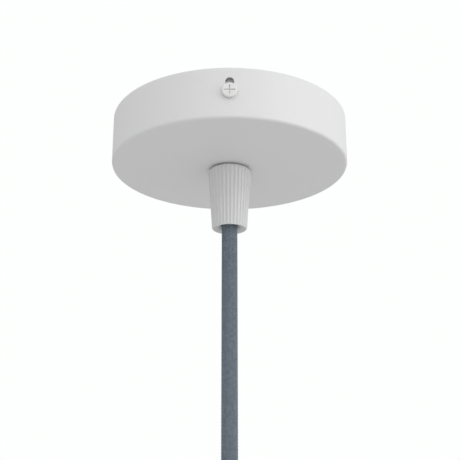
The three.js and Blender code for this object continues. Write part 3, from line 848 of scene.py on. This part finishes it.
def grip_body():
    top = SPIGOT_TOP
    prof = [(BORE_R, top - 0.3), (BORE_R, -50.0), (5.2, -50.0), (7.15, -38.4), (7.15, -37.8), (7.95, -37.4),
            (7.95, B - 2.3), (9.25, B - 2.3), (9.4, B - 2.15), (9.4, B - 0.15), (9.25, B), (SPIGOT_R, B)]
    rows = np.arange(B + 0.12, top - 0.5, 0.125)
    prof += [(SPIGOT_R, z) for z in rows]
    prof += [(SPIGOT_R, top - 0.5), (SPIGOT_R - 0.35, top), (BORE_R + 0.25, top)]
    o = lathe("grip_core", prof, 96, closed=True, shape=thread_shape(SPIGOT_R, 1.0, 0.4, B + 0.1, top - 0.45), smooth=50)
    slits = []
    for a in (math.pi / 4, 3 * math.pi / 4):
        b = block("slit", -10, 10, -0.5, 0.5, -52, -39.5)
        turned(b, ((math.cos(a), -math.sin(a), 0), (math.sin(a), math.cos(a), 0), (0, 0, 1)))
        slits.append(b)
    boolean(o, slits)
    shade(o, 40)
    return o


place(grip_body(), "grip_body", PLASTIC)


def grip_cap():
    per = 16
    seg = CAP_RIBS * per
    pts = ((-25.95, 11.13), (-48.3, 9.41), (-55.3, 9.0), (-56.8, 8.86))

    def outside(z):
        for (z0, r0), (z1, r1) in zip(pts[:-1], pts[1:]):
            if z <= z0 and z >= z1:
                return r0 + (r1 - r0) * (z0 - z) / (z0 - z1)
        return pts[-1][1]

    rows = [(10.3, CAP_TOP), (10.42, CAP_TOP - 0.04), (10.55, CAP_TOP - 0.2), (10.95, CAP_TOP - 0.8)]
    zs = [CAP_TOP - 0.9, CAP_TOP - 1.1] + list(np.linspace(-28, -53.5, 24)) + list(np.linspace(-53.9, -56.1, 9))
    rows += [(outside(z), z) for z in zs]
    ribbed = {round(z, 4) for z in zs}
    rl, zl, rf = 8.88, CAP_LOW, 0.8
    low = arc(rl - rf, zl + rf, rf, 0, -math.pi / 2, 8)
    rows += low
    ribbed |= {round(z, 4) for _, z in low[:6]}
    m, zm = CAP_MOUTH_R, CAP_MOUTH_Z
    rows += [(7.8, zl + 0.05), (7.4, zl + 0.17), (6.8, zl + 0.39), (6.2, zl + 0.62), (m + 0.1, zm - 0.03), (m + 0.03, zm), (m - 0.03, zm + 0.06)]
    rows += [(m - 0.03 + (CAP_BORE_R + 0.08 - m + 0.03) * t, zm + 0.06 + (-55.28 - zm - 0.06) * t) for t in (0.35, 0.7, 1)]
    rows += [(CAP_BORE_R, -55.1), (CAP_BORE_R, -50.3), (5.66, -50.3), (8.35, -40.0), (8.35, B - 2.3 - GAP), (9.8, B - 2.3 - GAP), (9.8, CAP_TOP)]

    def shape(t, r, z):
        if round(z, 4) not in ribbed or r < 8.3:
            return r
        ph = (t / (2 * math.pi) * CAP_RIBS + 0.5) % 1
        d = abs(ph - 0.5) * 2                       # 0 in the groove, 1 on the ridge
        g = min(1, max(0, (0.74 - d) / 0.5))
        g = g * g * (3 - 2 * g)
        fade = min(1, max(0, (z - zl - 0.1) / 0.8)) * min(1, max(0.0, (-26.2 - z) / 0.5))
        return r - RIB_DEPTH * g * fade

    return lathe("grip_nut_cap", rows, seg, closed=True, shape=shape, smooth=50)


place(grip_cap(), "grip_cap", PLASTIC)

N0 = -COVER_H + COVER_T + GAP
w = lathe("spigot_washer", [(5.4, N0 + 0.08), (5.48, N0), (8.85, N0), (9.0, N0 + 0.15), (9.0, N0 + 0.65), (8.85, N0 + 0.8), (5.48, N0 + 0.8), (5.4, N0 + 0.72)], 96, closed=True, smooth=50)
place(w, "grip_washer", ZINC)
N1 = N0 + 0.8 + GAP
nut = lathe("spigot_nut", [(0, N1), (8.1, N1), (8.1, N1 + 3.2), (0, N1 + 3.2)], 6, smooth=30)
chamfer = lathe("chamfer", [(0, N1 - 0.01), (7.35, N1 - 0.01), (8.2, N1 + 0.5), (8.2, N1 + 2.7), (7.35, N1 + 3.21), (0, N1 + 3.21)], 96)
boolean(nut, [chamfer], "INTERSECT")
boolean(nut, [lathe("bore", [(0, N1 - 1), (6.0, N1 - 1), (SPIGOT_R + GAP, N1 + 0.45), (SPIGOT_R + GAP, N1 + 2.75), (6.0, N1 + 4.2), (0, N1 + 4.2)], 64)])
shade(nut, 25)
place(nut, "grip_locknut", PLASTIC)


# ------------------------------------------------------------------ the terminal block
def terminal_body():
    y0, y1, ym = BLOCK_Y0, BLOCK_Y1, (BLOCK_Y0 + BLOCK_Y1) / 2
    o = block("strip_body", -13.3, 13.3, y0 + 0.6, y1 - 0.6, -3.7, -STRIP_T - GAP)
    parts, cuts = [block("web", -10, 10, y0 + 2.4, y1 - 2.4, -6.4, -3.6)], []
    for x in POLE_X:
        parts.append(cyl_y("tube", 3.3, y0, y1, x, POLE_Z, 40))
        cuts.append(cyl_y("bore", 2.2, y0 - 1, y1 + 1, x, POLE_Z, 32))
        for y in TERMINAL_SCREW_Y:
            parts.append(cyl("tower", 3.0, -13.4, POLE_Z, 40, x, y))
            cuts.append(cyl("well", 2.05, -14, POLE_Z, 32, x, y))
    for x in (-5, 5):
        cuts.append(cyl("seat", 2.4, -14, -3.7, 32, x, ym))
        cuts.append(cyl("hole", 1.5, -5, 0, 24, x, ym))
    boolean(o, parts, "UNION")
    boolean(o, cuts)
    return rounded(o, 0.14, 40, 2, 40)


place(terminal_body(), "terminal_block_body", BLOCK)

clamp = cyl_y("clamp", 1.9, BLOCK_Y0 + 2, BLOCK_Y1 - 2, 0, POLE_Z, 40)
boolean(clamp, [cyl_y("bore", 1.3, BLOCK_Y0, BLOCK_Y1, 0, POLE_Z, 32)] + [cyl("tap", 1.45, -12, POLE_Z, 32, 0, y) for y in TERMINAL_SCREW_Y])
rounded(clamp, 0.07, 40, 1, 40)
screw = pan_screw("clamp_screw", 1.72, 1.5, 1.15, 3.2, 0.4, 0.5, 0.7, 0, 40)
moved(screw, 0, 0, POLE_Z - 0.85 - GAP - 3.2)
for i, kind in enumerate(NAMES):
    c = link(f"clamp_{kind}", clamp.data.copy())
    place(moved(c, POLE_X[i]), f"terminal_clamp_{kind}", BRASS)
    for j, y in enumerate(TERMINAL_SCREW_Y):
        s = link(f"clamp_screw_{kind}_{j}", screw.data.copy())
        a = 0.6 + 1.9 * i + 1.1 * j
        turned(s, ((math.cos(a), -math.sin(a), 0), (math.sin(a), math.cos(a), 0), (0, 0, 1)))
        place(moved(s, POLE_X[i], y), f"terminal_screw_{kind}_{('cord', 'supply')[j]}", STEEL)
for o in (clamp, screw):
    me = o.data
    bpy.data.objects.remove(o)
    bpy.data.meshes.remove(me)
o = pan_screw("block_fixing", 2.1, 1.5, 1.2, 3.7, 0.45, 0.5, 0.6, 1.3, 48)
place(moved(o, -5, (BLOCK_Y0 + BLOCK_Y1) / 2, -4.0), "block_screw", ZINC)

# ------------------------------------------------------------------ floor, light and background
FLOOR_Z = -1.5
floor = mesh_object("floor", [(-3000, -3000, FLOOR_Z * 1000), (3000, -3000, FLOOR_Z * 1000), (3000, 3000, FLOOR_Z * 1000), (-3000, 3000, FLOOR_Z * 1000)], [(0, 1, 2, 3)])
floor.data.materials.append(material("pale_floor", (0.70, 0.70, 0.70), 0.7, specular=0.2, rough_var=0.05, rough_scale=3)[0])


def area_light(name, at, to, size, power, size_y=None):
    d = bpy.data.lights.new(name, "AREA")
    d.shape = "RECTANGLE"
    d.size = size
    d.size_y = size_y or size
    d.energy = power
    o = bpy.data.objects.new(name, d)
    bpy.context.scene.collection.objects.link(o)
    o.location = at
    o.rotation_euler = (Vector(to) - Vector(at)).to_track_quat("-Z", "Y").to_euler()
    return o


area_light("key", (0.85, -0.80, 0.38), (0, 0, -0.03), 0.28, 0.80)
area_light("side", (0.95, -0.45, -0.03), (0, 0, -0.06), 0.3, 1.18)

world = bpy.data.worlds.new("world")
bpy.context.scene.world = world
world.use_nodes = True
wn = world.node_tree
wn.nodes.clear()
wo = wn.nodes.new("ShaderNodeOutputWorld")
seen = wn.nodes.new("ShaderNodeBackground")
seen.inputs["Color"].default_value = (0.985, 1.0, 0.99, 1)
seen.inputs["Strength"].default_value = 1.0
lit = wn.nodes.new("ShaderNodeBackground")
mix = wn.nodes.new("ShaderNodeMixShader")
lp = wn.nodes.new("ShaderNodeLightPath")
wn.links.new(lp.outputs["Is Camera Ray"], mix.inputs[0])
wn.links.new(lit.outputs[0], mix.inputs[1])
wn.links.new(seen.outputs[0], mix.inputs[2])
wn.links.new(mix.outputs[0], wo.inputs["Surface"])
tc = wn.nodes.new("ShaderNodeTexCoord")
dot = wn.nodes.new("ShaderNodeVectorMath")
dot.operation = "DOT_PRODUCT"
wn.links.new(tc.outputs["Generated"], dot.inputs[0])
WX, WY, WZ, W0 = 0.137, -0.150, 0.27, 0.708
dot.inputs[1].default_value = (WX, WY, WZ)
add = wn.nodes.new("ShaderNodeMath")
add.operation = "ADD"
add.inputs[1].default_value = W0
wn.links.new(dot.outputs["Value"], add.inputs[0])
wn.links.new(add.outputs[0], lit.inputs["Strength"])
lit.inputs["Color"].default_value = (1, 1, 1, 1)

bpy.context.scene.view_settings.view_transform = "Standard"
bpy.context.scene.view_settings.look = "None"
